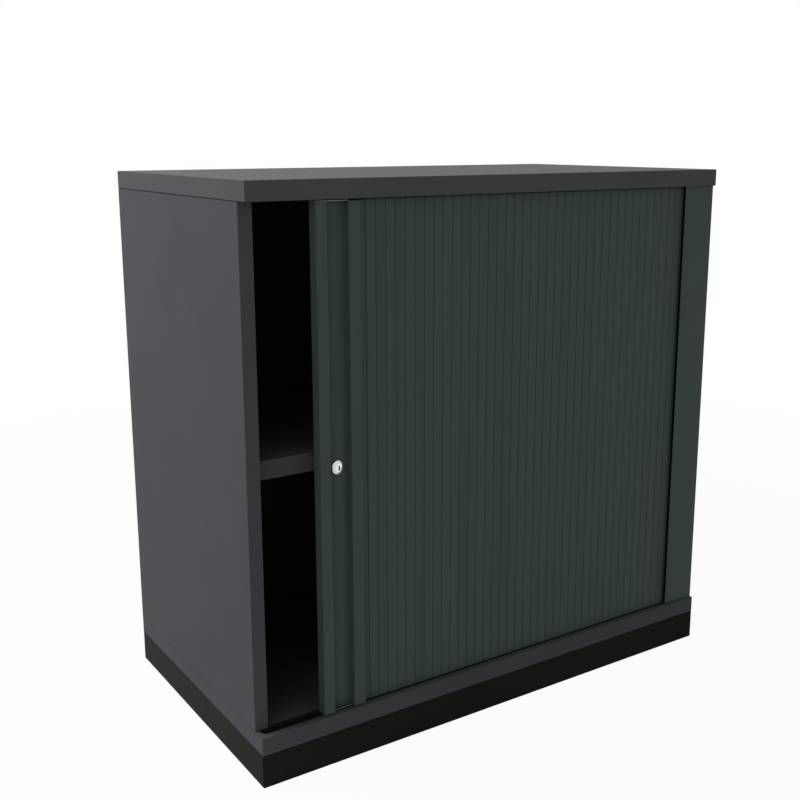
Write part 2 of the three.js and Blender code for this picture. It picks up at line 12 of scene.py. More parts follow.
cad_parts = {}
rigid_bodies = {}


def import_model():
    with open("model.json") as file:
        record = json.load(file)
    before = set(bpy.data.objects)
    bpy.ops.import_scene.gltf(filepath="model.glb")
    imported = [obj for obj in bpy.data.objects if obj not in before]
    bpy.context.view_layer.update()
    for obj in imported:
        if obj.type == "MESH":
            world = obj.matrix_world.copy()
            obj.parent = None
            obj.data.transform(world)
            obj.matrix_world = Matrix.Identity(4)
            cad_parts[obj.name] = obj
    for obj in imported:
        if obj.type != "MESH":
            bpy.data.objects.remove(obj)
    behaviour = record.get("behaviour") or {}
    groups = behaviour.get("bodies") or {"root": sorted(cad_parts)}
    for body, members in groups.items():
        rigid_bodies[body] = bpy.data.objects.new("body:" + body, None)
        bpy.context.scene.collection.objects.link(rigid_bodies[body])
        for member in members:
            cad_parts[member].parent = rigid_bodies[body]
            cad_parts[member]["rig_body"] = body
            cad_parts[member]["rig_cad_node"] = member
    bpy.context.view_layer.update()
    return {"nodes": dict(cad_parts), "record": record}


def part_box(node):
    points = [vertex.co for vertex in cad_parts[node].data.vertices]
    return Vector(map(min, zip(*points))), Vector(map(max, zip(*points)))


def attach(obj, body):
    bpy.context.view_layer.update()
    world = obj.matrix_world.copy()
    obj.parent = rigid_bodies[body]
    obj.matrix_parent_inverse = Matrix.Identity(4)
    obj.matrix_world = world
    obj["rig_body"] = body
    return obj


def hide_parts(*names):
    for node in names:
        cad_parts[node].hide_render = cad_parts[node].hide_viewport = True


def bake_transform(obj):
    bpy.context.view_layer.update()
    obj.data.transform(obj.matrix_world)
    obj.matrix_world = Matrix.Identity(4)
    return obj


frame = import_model()

MM = 0.001
RIGHT = Vector((1, 0, 0))
LEFT = Vector((-1, 0, 0))
BACK = Vector((0, 1, 0))
FRONT = Vector((0, -1, 0))
UP = Vector((0, 0, 1))
DOWN = Vector((0, 0, -1))

record = frame["record"]
body_of_node = {node: body for body, nodes in record["behaviour"]["bodies"].items() for node in nodes}


# Camera, as fitted to the photograph's perspective
CAMERA_PLACE = Vector((-0.9384, -1.3823, 0.8300))
CAMERA_AZIMUTH = math.radians(-33.78)
CAMERA_ELEVATION = math.radians(12.22)
CAMERA_LENS = 48.74
CAMERA_SENSOR = 36
CAMERA_SHIFT = (-0.02063, -0.03465)


def add_camera():
    level = math.cos(CAMERA_ELEVATION)
    back = Vector((
        math.sin(CAMERA_AZIMUTH) * level,
        -math.cos(CAMERA_AZIMUTH) * level,
        math.sin(CAMERA_ELEVATION),
    ))
    bpy.ops.object.camera_add(location=CAMERA_PLACE)
    camera = bpy.context.object
    camera.rotation_euler = (-back).to_track_quat("-Z", "Y").to_euler()
    camera.data.lens = CAMERA_LENS
    camera.data.sensor_width = CAMERA_SENSOR
    camera.data.shift_x, camera.data.shift_y = CAMERA_SHIFT
    bpy.context.scene.camera = camera


# Shader trees
def linear(red, green, blue):
    """A colour written as it looks on screen, 0 to 255, as the shader's linear values."""
    def one(level):
        share = level / 255
        return share / 12.92 if share <= 0.04045 else ((share + 0.055) / 1.055) ** 2.4
    return one(red), one(green), one(blue), 1.0


class Signal:
    """A socket in a finish's tree. Arithmetic on it adds Math nodes."""

    def __init__(self, finish, socket):
        self.finish = finish
        self.socket = socket

    def maths(self, operation, *values):
        sockets = dict(enumerate(values))
        return self.finish.node("ShaderNodeMath", {"operation": operation}, sockets)

    def __add__(self, other):
        return self.maths("ADD", self, other)

    def __radd__(self, other):
        return self.maths("ADD", other, self)

    def __sub__(self, other):
        return self.maths("SUBTRACT", self, other)

    def __rsub__(self, other):
        return self.maths("SUBTRACT", other, self)

    def __mul__(self, other):
        return self.maths("MULTIPLY", self, other)

    def __rmul__(self, other):
        return self.maths("MULTIPLY", other, self)

    def __truediv__(self, other):
        return self.maths("DIVIDE", self, other)

    def __lt__(self, other):
        return self.maths("LESS_THAN", self, other)

    def __gt__(self, other):
        return self.maths("GREATER_THAN", self, other)

    def least(self, other):
        return self.maths("MINIMUM", self, other)


class Finish:
    """A material, built one node at a time round its Principled shader."""

    def __init__(self, name, **constants):
        self.material = bpy.data.materials.new(name)
        self.material.use_nodes = True
        self.tree = self.material.node_tree
        self.shader = next(node for node in self.tree.nodes if node.type == "BSDF_PRINCIPLED")
        for socket, value in constants.items():
            self.shader.inputs[socket.replace("_", " ")].default_value = value

    def feed(self, socket, value):
        if isinstance(value, Signal):
            self.tree.links.new(value.socket, socket)
        else:
            socket.default_value = value

    def node(self, kind, settings=None, sockets=None, output=0):
        made = self.tree.nodes.new(kind)
        for name, value in (settings or {}).items():
            setattr(made, name, value)
        for name, value in (sockets or {}).items():
            self.feed(made.inputs[name], value)
        return Signal(self, made.outputs[output])

    def place(self):
        """Object coordinates in metres: the piece's own frame, which is the cabinet's."""
        return self.node("ShaderNodeTexCoord", output="Object")

    def rest(self):
        """The place that a slat's point had before the door moved."""
        return self.node("ShaderNodeAttribute", {"attribute_name": "rest_place"}, output="Vector")

    def split(self, vector):
        return [
            self.node("ShaderNodeSeparateXYZ", sockets={0: vector}, output=axis)
            for axis in ("X", "Y", "Z")
        ]

    def noise(self, vector, grain, stretch=(1, 1, 1), detail=2.0):
        """Noise with grains of a size in metres, drawn out along the axes by stretch."""
        scale = tuple(1 / (grain * length) for length in stretch)
        drawn = self.node("ShaderNodeMapping", sockets={"Vector": vector, "Scale": scale})
        return self.node("ShaderNodeTexNoise", sockets={"Vector": drawn, "Scale": 1.0, "Detail": detail})

    def ramp(self, value, low, high):
        """0 below low and 1 above high, with a smooth step between."""
        settings = {"interpolation_type": "SMOOTHSTEP"}
        return self.node("ShaderNodeMapRange", settings, {"Value": value, "From Min": low, "From Max": high})

    def blend(self, share, first, second):
        settings = {"data_type": "RGBA"}
        return self.node("ShaderNodeMix", settings, {0: share, 6: first, 7: second}, output=2)

    def colour(self, value):
        self.feed(self.shader.inputs["Base Color"], value)

    def roughness(self, value):
        self.feed(self.shader.inputs["Roughness"], value)

    def bump(self, height, depth, strength=1.0):
        sockets = {"Height": height, "Distance": depth, "Strength": strength}
        self.feed(self.shader.inputs["Normal"], self.node("ShaderNodeBump", sockets=sockets))


# Colours as they are under plain light, except where a comment says that light or shade is painted into them
BOARD = linear(73, 75, 78.5)
BOARD_DARK = linear(70, 72, 75.5)
# The top slab's board, paler than the other boards: painted light, for its brightly lit top
TOP_PAINTED_LIGHT = linear(78, 80, 82.5)
TOP_PAINTED_LIGHT_DARK = linear(75, 77, 79.5)
# The shelf's board, darker than the other boards: painted shade, for the shade inside the cabinet
SHELF_PAINTED_SHADE = linear(66, 68, 70.5)
SHELF_PAINTED_SHADE_DARK = linear(63, 65, 67.5)
BOARD_LINE = linear(52, 52, 58)
# Painted shadow for the seam where a side meets the top slab
SEAM_PAINTED_SHADOW = linear(26, 26, 27)
PLINTH = linear(36, 36, 33)
PLINTH_DARK = linear(32, 32, 30)
SLAT = linear(70, 82, 77)
SLAT_DARK = linear(64, 75, 71)
# Painted shade for the slats' ends, where they run under the slabs
SLAT_END_SHADE = linear(22, 25, 24)
TRACK = linear(29, 29, 30)
TRACK_DUSTY = linear(38, 38, 39)
# Painted light: a pale line on the glider's ledge under the finger grip
LEDGE_PAINTED_LIGHT = linear(196, 202, 200)
# Near-black rubber, darker than rubber as painted shade, so that the cover's seal and the ridge caps show as
# shadowed gaps; the track stops take it as plain rubber
RUBBER_AND_PAINTED_SHADE = linear(4, 5, 5)
RUBBER_AND_PAINTED_SHADE_PALE = linear(9, 9, 10)
# The end plate: light plastic whose paleness is partly painted light, and a darker tone for its painted
# shade over the first ridge
END_PLATE = linear(172, 172, 164)
END_PLATE_DARK = linear(160, 160, 153)
END_PLATE_PAINTED_SHADE = linear(116, 122, 117)
CHROME = linear(232, 233, 235)
CHROME_HAZY = linear(220, 222, 225)
SATIN_CHROME = linear(226, 228, 230)
SATIN_CHROME_HAZY = linear(214, 216, 219)
ZINC = linear(178, 181, 184)
ZINC_DARK = linear(150, 153, 158)
BEECH = linear(198, 162, 118)
BEECH_DARK = linear(168, 128, 84)
FLOOR = linear(205, 205, 205)
WHITE = (1, 1, 1, 1)

BAND_WIDTH = 1.2 * MM
BAND_LINE = 0.15 * MM
# The height of the painted shadow along a side's upper edge
SEAM_SHADOW_HEIGHT = 0.5 * MM

# The leading profile, from its leading edge: first ridge, finger grip, second ridge
FIRST_RIDGE_WIDTH = 15.5 * MM
GRIP_WIDTH = 31 * MM
SECOND_RIDGE_WIDTH = 17 * MM


def board_finish(node, thickness_axis, pale, dark):
    """Anthracite melamine: grain, soft mottling, the line of its edge band and, on a side, a painted shadow
    along its upper edge, at the seam under the top slab.
    """
    finish = Finish(f"{node}_melamine", Specular_IOR_Level=0.03)
    place = finish.place()
    low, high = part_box(node)
    edge = None
    coordinates = finish.split(place)
    height = coordinates[2]
    for axis, coordinate in enumerate(coordinates):
        if axis != thickness_axis:
            near = (coordinate - low[axis]).least(high[axis] - coordinate)
            edge = near if edge is None else edge.least(near)
    band = edge < BAND_WIDTH
    line = (edge > BAND_WIDTH) * (edge < BAND_WIDTH + BAND_LINE)
    mottle = finish.noise(place, 60 * MM, detail=4)
    grain = finish.noise(place, 0.9 * MM, detail=2)
    face = finish.blend(finish.ramp(mottle, 0.2, 0.8), dark, pale)
    face = finish.blend(line, face, BOARD_LINE)
    # Painted shadow: a dark band along a side's upper edge, where the seam under the top slab falls
    if node in ("left_side_panel", "right_side_panel"):
        face = finish.blend(height > high.z - SEAM_SHADOW_HEIGHT, face, SEAM_PAINTED_SHADOW)
    finish.colour(face)
    finish.roughness(0.5 + 0.1 * grain)
    finish.bump(grain * (1 - 0.6 * band), 0.06 * MM, 0.35)
    return finish.material


def plinth_finish():
    """Black laminate with fine pores."""
    finish = Finish("plinth_laminate", Specular_IOR_Level=0.007)
    place = finish.place()
    pores = finish.noise(place, 0.7 * MM, detail=3)
    cloud = finish.noise(place, 90 * MM, detail=3)
    finish.colour(finish.blend(finish.ramp(cloud, 0.3, 0.7), PLINTH_DARK, PLINTH))
    finish.roughness(0.28 + 0.12 * pores)
    finish.bump(pores, 0.05 * MM, 0.3)
    return finish.material


def extruded_finish(finish, place, tone=None, end_shade=0):
    """Dark green satin plastic with faint lines along the extrusion, and painted shade where a mask is
    given.
    """
    lines = finish.noise(place, 0.8 * MM, (1, 1, 400), detail=3)
    cloud = finish.noise(place, 25 * MM, (1, 1, 8), detail=2)
    grain = finish.noise(place, 0.5 * MM, detail=2)
    share = finish.ramp(0.6 * lines + 0.4 * cloud, 0.3, 0.7)
    if tone is not None:
        share = 0.6 * share + 0.4 * tone
    # The masked parts take painted shade
    finish.colour(finish.blend(end_shade, finish.blend(share, SLAT_DARK, SLAT), SLAT_END_SHADE))
    finish.roughness(0.44 + 0.12 * lines)
    finish.bump(0.7 * lines + 0.3 * grain, 0.04 * MM, 0.3)
    return finish.material


def slat_finish():
    """The slats' plastic: each slat has its own tone, and its ends are painted dark as shade where they run
    into the tracks under the slabs.
    """
    finish = Finish("slat_plastic", Specular_IOR_Level=0.08)
    tone = finish.node("ShaderNodeAttribute", {"attribute_name": "slat_tone"}, output="Fac")
    place = finish.rest()
    height = finish.split(place)[2]
    low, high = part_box("curtain_front")
    lower_end = 7.4 * MM
    upper_end = 8.6 * MM
    # Painted shade: the slats' lower and upper ends, where they run into the tracks
    end_shade = (height < low.z + lower_end) + (height > high.z - upper_end)
    return extruded_finish(finish, place, tone, end_shade)


def profile_finish():
    finish = Finish("profile_plastic", Specular_IOR_Level=0.08)
    return extruded_finish(finish, finish.place())


def track_finish(name, ledge=None):
    """Black low-friction plastic, dusty where the slats don't wipe it, with a pale ledge painted in as light
    if one is given.

    A ledge is its left end, its right end and its level.
    """
    finish = Finish(name, Specular_IOR_Level=0.08)
    place = finish.place()
    dust = finish.noise(place, 12 * MM, detail=4)
    grain = finish.noise(place, 0.6 * MM, detail=2)
    face = finish.blend(finish.ramp(dust, 0.45, 0.75), TRACK, TRACK_DUSTY)
    if ledge is not None:
        left, right, level = ledge
        along, _, height = finish.split(place)
        on_ledge = (along > left) * (along < right) * (height > level)
        # Painted light: the ledge is coloured pale to show as a lit line in the shaded gap under the grip
        face = finish.blend(on_ledge, face, LEDGE_PAINTED_LIGHT)
    finish.colour(face)
    finish.roughness(0.36 + 0.2 * dust)
    finish.bump(grain, 0.03 * MM, 0.3)
    return finish.material


def moulded_finish(name, pale, dark, rough, grain_size):
    """Moulded plastic or rubber with a fine spark-eroded grain."""
    finish = Finish(name, Specular_IOR_Level=0.05)
    place = finish.place()
    grain = finish.noise(place, grain_size, detail=3)
    cloud = finish.noise(place, 9 * MM, detail=2)
    finish.colour(finish.blend(finish.ramp(cloud, 0.3, 0.7), dark, pale))
    finish.roughness(rough + 0.12 * grain)
    finish.bump(grain, 0.05 * MM, 0.4)
    return finish.material


def end_plate_finish():
    """Light moulded plastic, its paleness partly painted light so that it shows as a lit line, and painted
    shade darker towards the door's leading edge.
    """
    finish = Finish("end_plate_plastic", Specular_IOR_Level=0.05)
    place = finish.place()
    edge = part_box("profile_end_plate")[0].x
    shade_width = 8 * MM
    grain = finish.noise(place, 0.5 * MM, detail=3)
    cloud = finish.noise(place, 9 * MM, detail=2)
    light = finish.blend(finish.ramp(cloud, 0.3, 0.7), END_PLATE_DARK, END_PLATE)
    along = finish.split(place)[0]
    # Painted shade: darker over the first ridge, towards the leading edge
    finish.colour(finish.blend(finish.ramp(along, edge, edge + shade_width), END_PLATE_PAINTED_SHADE, light))
    finish.roughness(0.42 + 0.12 * grain)
    finish.bump(grain, 0.05 * MM, 0.4)
    return finish.material


def make_end_plate(material):
    """The plate over the profile's upper end, thinner than its slot, so that a dark line shows above it."""
    edge_radius = 0.2 * MM
    plate = dressed("end_plate", "profile_end_plate", edge_radius)
    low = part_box("profile_end_plate")[0]
    thinner = 0.727
    fixed_level = low.z - 0.73 * MM
    with shaping(plate):
        bpy.ops.mesh.select_all(action="SELECT")
        bpy.ops.transform.resize(value=(1, 1, thinner), center_override=(0, 0, fixed_level))
    finished(plate, material, "profile_end_plate")


def chrome_finish(name, pale, dark, rough):
    """Polished plate with hairline wiping marks."""
    finish = Finish(name, Metallic=1.0)
    place = finish.place()
    hairs = finish.noise(place, 0.25 * MM, (14, 1, 1), detail=3)
    haze = finish.noise(place, 3 * MM, detail=3)
    finish.colour(finish.blend(finish.ramp(haze, 0.3, 0.7), dark, pale))
    finish.roughness(rough + 0.05 * haze + 0.03 * hairs)
    finish.bump(hairs, 0.004 * MM, 0.25)
    return finish.material


def zinc_finish():
    """Zinc plate: soft spangles and a brushed sheen."""
    finish = Finish("zinc_plate", Metallic=1.0)
    place = finish.place()
    spangle = finish.noise(place, 2.5 * MM, detail=4)
    brushed = finish.noise(place, 0.15 * MM, (1, 1, 20), detail=2)
    finish.colour(finish.blend(finish.ramp(spangle, 0.35, 0.65), ZINC_DARK, ZINC))
    finish.roughness(0.3 + 0.12 * spangle)
    finish.bump(brushed, 0.01 * MM, 0.3)
    return finish.material


def beech_finish():
    """Bare beech with short flecks along the grain."""
    finish = Finish("dowel_beech", Specular_IOR_Level=0.3)
    place = finish.place()
    flecks = finish.noise(place, 0.4 * MM, (1, 1, 9), detail=3)
    rings = finish.noise(place, 2.2 * MM, (1, 1, 12), detail=2)
    finish.colour(finish.blend(finish.ramp(0.5 * flecks + 0.5 * rings, 0.35, 0.65), BEECH_DARK, BEECH))
    finish.roughness(0.6 + 0.15 * flecks)
    finish.bump(flecks, 0.05 * MM, 0.4)
    return finish.material


# Modelling, as by hand: a primitive, shaped in edit mode
def alone(piece):
    bpy.ops.object.select_all(action="DESELECT")
    piece.select_set(True)
    bpy.context.view_layer.objects.active = piece


def settled(name):
    """Names the new primitive and moves its place into its mesh."""
    piece = bpy.context.object
    piece.name = name
    piece.data.name = name
    bpy.ops.object.transform_apply(location=True, rotation=True, scale=True)
    return piece


def cuboid(name, low, high):
    low, high = Vector(low), Vector(high)
    bpy.ops.object.select_all(action="DESELECT")
    bpy.ops.mesh.primitive_cube_add(size=1, location=(low + high) / 2, scale=high - low)
    return settled(name)


@contextlib.contextmanager
def shaping(piece):
    alone(piece)
    bpy.ops.object.mode_set(mode="EDIT")
    yield
    bpy.ops.object.mode_set(mode="OBJECT")


def choose_faces(facing, test=lambda centre: True):
    """Selects the faces that look one way and whose centre passes a test."""
    bpy.ops.mesh.select_mode(type="FACE")
    bpy.ops.mesh.select_all(action="DESELECT")
    mesh = bmesh.from_edit_mesh(bpy.context.edit_object.data)
    for face in mesh.faces:
        chosen = face.normal.dot(facing) > 0.99 and test(face.calc_center_median())
        face.select_set(chosen)
    bmesh.update_edit_mesh(bpy.context.edit_object.data)


def choose_edges(test):
    """Selects the edges whose two ends pass a test."""
    bpy.ops.mesh.select_mode(type="EDGE")
    bpy.ops.mesh.select_all(action="DESELECT")
    mesh = bmesh.from_edit_mesh(bpy.context.edit_object.data)
    for edge in mesh.edges:
        edge.select_set(test(edge.verts[0].co, edge.verts[1].co))
    bmesh.update_edit_mesh(bpy.context.edit_object.data)


def parallel(start, end, direction):
    return abs((end - start).normalized().dot(direction)) > 0.999


def split_at(place, normal):
    """Cuts the whole piece with a plane and keeps both halves joined."""
    bpy.ops.mesh.select_all(action="SELECT")
    bpy.ops.mesh.bisect(plane_co=place, plane_no=normal)


def pull(distance, direction):
    bpy.ops.mesh.extrude_region_move(TRANSFORM_OT_translate={"value": direction * distance})


def round_edges(test, radius, segments=3):
    choose_edges(test)
    bpy.ops.mesh.bevel(
        offset=radius, segments=segments, affect="EDGES",
        clamp_overlap=True, loop_slide=False,
    )


def straighten():
    bpy.ops.mesh.select_all(action="SELECT")
    bpy.ops.mesh.remove_doubles(threshold=0.001 * MM)
    bpy.ops.mesh.normals_make_consistent(inside=False)


def carve(piece, tool):
    """Cuts a tool's shape out of a piece and throws the tool away."""
    alone(piece)
    cutter = piece.modifiers.new("cut", "BOOLEAN")
    cutter.operation = "DIFFERENCE"
    cutter.solver = "EXACT"
    cutter.object = tool
    bpy.ops.object.modifier_apply(modifier=cutter.name)
    bpy.data.objects.remove(tool)


def smooth(piece, degrees=32):
    alone(piece)
    bpy.ops.object.shade_smooth_by_angle(angle=math.radians(degrees))


def turned(name, centre, axis, stations, sides=48):
    """A part turned on a lathe: a disc drawn out along an axis through (radius, distance) stations."""
    centre = Vector(centre)
    radius, distance = stations[0]
    turn = axis.to_track_quat("Z", "Y").to_euler()
    bpy.ops.object.select_all(action="DESELECT")
    bpy.ops.mesh.primitive_circle_add(
        vertices=sides, radius=radius, fill_type="NGON",
        location=centre + axis * distance, rotation=turn,
    )
    piece = settled(name)
    with shaping(piece):
        bpy.ops.mesh.select_mode(type="FACE")
        bpy.ops.mesh.select_all(action="SELECT")
        for next_radius, next_distance in stations[1:]:
            pull(next_distance - distance, axis)
            spread = next_radius / radius
            middle = centre + axis * next_distance
            bpy.ops.transform.resize(value=(spread, spread, spread), center_override=middle)
            radius, distance = next_radius, next_distance
        straighten()
    smooth(piece)
    return piece


def dressed(name, node, radius, segments=3):
    """A copy of a CAD node with its box edges rounded, as a board's edge band or a folded sheet has them."""
    alone(frame["nodes"][node])
    bpy.ops.object.duplicate()
    piece = bpy.context.object
    piece.name = name
    piece.data.name = name
    piece.parent = None
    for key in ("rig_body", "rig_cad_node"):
        del piece[key]
    low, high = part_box(node)
    reach = 0.01 * MM

    def on_box_edge(start, end):
        shared = 0
        for axis in range(3):
            for face in (low[axis], high[axis]):
                shared += abs(start[axis] - face) < reach and abs(end[axis] - face) < reach
        return shared == 2

    with shaping(piece):
        bpy.ops.mesh.select_all(action="SELECT")
        bpy.ops.mesh.remove_doubles(threshold=reach)
        bpy.ops.mesh.dissolve_limited(angle_limit=math.radians(1))
        if radius:
            round_edges(on_box_edge, radius, segments)
    return piece


def finished(piece, material, *nodes):
    """The piece takes a finish and stands for its CAD nodes, on their body."""
    piece.data.materials.clear()
    piece.data.materials.append(material)
    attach(piece, body_of_node[nodes[0]])
    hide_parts(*nodes)
    return piece


# Boards
def make_boards():
    slab_radius = 0.8 * MM
    side_radius = 0.6 * MM
    panel_radius = 0.25 * MM
    boards = [
        ("top_slab", "top_panel", 2, slab_radius),
        ("base_slab", "base_panel", 2, slab_radius),
        ("left_side", "left_side_panel", 0, side_radius),
        ("right_side", "right_side_panel", 0, side_radius),
        ("back_board", "back_panel", 1, panel_radius),
        ("partition_board", "inner_partition", 0, panel_radius),
        ("rear_screen_board", "rear_screen", 1, panel_radius),
        ("shelf_board", "shelf", 2, 0),
        ("shelf_front_band", "shelf_edge_strip", 2, panel_radius),
    ]
    # The top slab takes painted light, and the shelf and its band take painted shade; the other boards take
    # the plain board colour
    tones = {
        "top_panel": (TOP_PAINTED_LIGHT, TOP_PAINTED_LIGHT_DARK),
        "shelf": (SHELF_PAINTED_SHADE, SHELF_PAINTED_SHADE_DARK),
        "shelf_edge_strip": (SHELF_PAINTED_SHADE, SHELF_PAINTED_SHADE_DARK),
    }
    for name, node, thickness_axis, radius in boards:
        pale, dark = tones.get(node, (BOARD, BOARD_DARK))
        finished(dressed(name, node, radius), board_finish(node, thickness_axis, pale, dark), node)
    laminate = plinth_finish()
    for side in ("front", "rear", "left", "right"):
        node = f"plinth_{side}"
        finished(dressed(f"{node}_board", node, slab_radius), laminate, node)


# Leading profile with its two ridges and the finger grip
def make_profile(material):
    low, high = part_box("leading_profile")
    curtain_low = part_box("curtain_front")[0]
    wall = 2.2 * MM
    first_ridge = low.x + FIRST_RIDGE_WIDTH
    grip_end = first_ridge + GRIP_WIDTH
    second_ridge = grip_end + SECOND_RIDGE_WIDTH
    slat_front = curtain_low.y
    rise = slat_front - low.y
    grip_sink = 3 * MM
    ridge_radius = 0.45 * MM
    margin_radius = 1.4 * MM
    lock_bore = 8 * MM
    piece = cuboid("door_profile", (low.x, slat_front, low.z), high)
    with shaping(piece):
        for place in (first_ridge, grip_end, second_ridge):
            split_at((place, 0, 0), RIGHT)
        choose_faces(FRONT, lambda centre: centre.x < first_ridge)
        pull(rise, FRONT)
        choose_faces(FRONT, lambda centre: grip_end < centre.x < second_ridge)
        pull(rise, FRONT)
        choose_faces(FRONT, lambda centre: first_ridge < centre.x < grip_end)
        pull(grip_sink, BACK)
        straighten()

        def ridge_edge(start, end):
            return parallel(start, end, UP) and start.y < slat_front - MM

        def margin_edge(start, end):
            at_end = start.x > high.x - MM and end.x > high.x - MM
            return parallel(start, end, UP) and at_end and start.y < slat_front + MM

        round_edges(ridge_edge, ridge_radius)
        round_edges(margin_edge, margin_radius)
    hollow_front = low.y + wall
    hollow_back = high.y - wall
    for left, right in ((low.x, first_ridge), (grip_end, second_ridge)):
        hollow_low = (left + wall, hollow_front, low.z - MM)
        hollow_high = (right - wall, hollow_back, high.z + MM)
        carve(piece, cuboid("hollow", hollow_low, hollow_high))
    lock_low, lock_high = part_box("lock_housing")
    lock = (lock_low + lock_high) / 2
    bore = turned("bore", (lock.x, 0, lock.z), BACK, [(lock_bore, low.y), (lock_bore, high.y + MM)])
    carve(piece, bore)
    finished(piece, material, "leading_profile")


def grip_ledge():
    """The left and right ends and the level of the lower glider's ledge under the finger grip."""
    profile_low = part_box("leading_profile")[0]
    left = profile_low.x + FIRST_RIDGE_WIDTH
    return left, left + GRIP_WIDTH, profile_low.z - MM


def make_glider(name, node, upwards, material):
    """A glider: a tongue in the track, a thin end cap over the profile and two studs in its hollows."""
    low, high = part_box(node)
    profile_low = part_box("leading_profile")[0]
    plate_thickness = 7.2 * MM
    corner_radius = 1.5 * MM
    outside, inside = (high.z, high.z - plate_thickness) if upwards else (low.z, low.z + plate_thickness)
    piece = cuboid(name, (low.x, low.y, min(outside, inside)), (high.x, high.y, max(outside, inside)))
    away = DOWN if upwards else UP
    stud_length = (high.z - low.z) - plate_thickness
    first_stud = (profile_low.x + 10 * MM, profile_low.x + 13 * MM)
    second_stud = (profile_low.x + 49 * MM, profile_low.x + 61 * MM)
    stud_back = high.y - 2 * MM
    with shaping(piece):
        for place in (*first_stud, *second_stud):
            split_at((place, 0, 0), RIGHT)
        split_at((0, stud_back, 0), BACK)
        choose_faces(away, lambda centre: centre.y < stud_back and (
            first_stud[0] < centre.x < first_stud[1] or second_stud[0] < centre.x < second_stud[1]
        ))
        pull(stud_length, away)
        straighten()
        round_edges(lambda start, end: parallel(start, end, UP) and start.x > high.x - MM, corner_radius)
        round_edges(lambda start, end: parallel(start, end, UP) and start.x < low.x + MM, corner_radius)
    finished(piece, material, node)


def make_ridge_shadow_caps(material):
    """Thin black caps that close the lower ends of the two ridges and fill the gap down to the slab: painted
    shade for the contact shadow under the ridges.
    """
    profile_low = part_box("leading_profile")[0]
    glider_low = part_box("lower_glider")[0]
    inset = 0.2 * MM
    clearance = 0.1 * MM
    corner_radius = 0.5 * MM
    slab_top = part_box("base_panel")[1].z
    second_start = FIRST_RIDGE_WIDTH + GRIP_WIDTH
    for number, start, width in ((1, 0, FIRST_RIDGE_WIDTH), (2, second_start, SECOND_RIDGE_WIDTH)):
        left = profile_low.x + start + inset
        cap = cuboid(
            f"ridge_cap_{number}",
            (left, profile_low.y + inset, slab_top + clearance),
            (left + width - 2 * inset, glider_low.y - 0.1 * MM, profile_low.z - 0.05 * MM),
        )
        with shaping(cap):
            round_edges(lambda start, end: parallel(start, end, UP), corner_radius)
        finished(cap, material, "lower_glider")


def make_cover(material, rubber):
    """The cover, a thin channel drawn from its front wall round to its leg, and the lip of its seal."""
    low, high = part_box("cover_panel")
    wall = 1.2 * MM
    leg = 16 * MM
    reach = 0.1 * MM
    corner_radius = 0.9 * MM
    edge_radius = 0.3 * MM
    piece = cuboid("cover", low, (high.x, low.y + wall, high.z))
    with shaping(piece):
        split_at((high.x - wall, 0, 0), RIGHT)
        choose_faces(BACK, lambda centre: centre.x > high.x - wall)
        pull(high.y - low.y - 2 * wall, BACK)
        pull(wall, BACK)
        choose_faces(LEFT, lambda centre: centre.x > high.x - 2 * wall and centre.y > high.y - wall)
        pull(leg - wall, LEFT)
        straighten()

        def outer_corner(start, end):
            return parallel(start, end, UP) and start.x > high.x - reach

        def free_edge(start, end):
            return parallel(start, end, UP) and start.x < low.x + reach

        round_edges(outer_corner, corner_radius)
        round_edges(free_edge, edge_radius, 2)
    finished(piece, material, "cover_panel")
    seal_low, seal_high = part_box("cover_seal")
    lip_grooves = 3
    groove_width = 0.25 * MM
    lip_radius = 0.4 * MM
    seal = cuboid("cover_lip", seal_low, seal_high)
    depth = seal_high.y - seal_low.y

    def on_lip(start, end):
        return parallel(start, end, UP) and start.x < seal_low.x + reach

    def between_corners(start):
        return seal_low.y + reach < start.y < seal_high.y - reach

    def at_corner(start):
        return start.y < seal_low.y + reach or start.y > seal_high.y - reach

    with shaping(seal):
        for groove in range(1, lip_grooves + 1):
            split_at((0, seal_low.y + depth * groove / (lip_grooves + 1), 0), BACK)
        choose_edges(lambda start, end: on_lip(start, end) and between_corners(start))
        bpy.ops.mesh.bevel(offset=groove_width, segments=2, affect="EDGES", clamp_overlap=True)
        straighten()
        round_edges(lambda start, end: on_lip(start, end) and at_corner(start), lip_radius)
    # The seal's near-black rubber is painted shade for the gap beside the cover
    finished(seal, rubber, "cover_seal")


# The curtain: one slat, modelled once and set along the track
BEND_RADIUS = 30 * MM


def curtain_place(length, bend_x, run_y):
    """Where the curtain's middle line is at a length, and how far it has turned there."""
    turn = (length - bend_x) / BEND_RADIUS
    if turn <= 0:
        return Vector((length, run_y, 0)), 0.0
    if turn < math.pi / 2:
        x = bend_x + BEND_RADIUS * math.sin(turn)
        y = run_y + BEND_RADIUS * (1 - math.cos(turn))
        return Vector((x, y, 0)), turn
    beyond = length - bend_x - BEND_RADIUS * math.pi / 2
    return Vector((bend_x + BEND_RADIUS, run_y + BEND_RADIUS + beyond, 0)), math.pi / 2


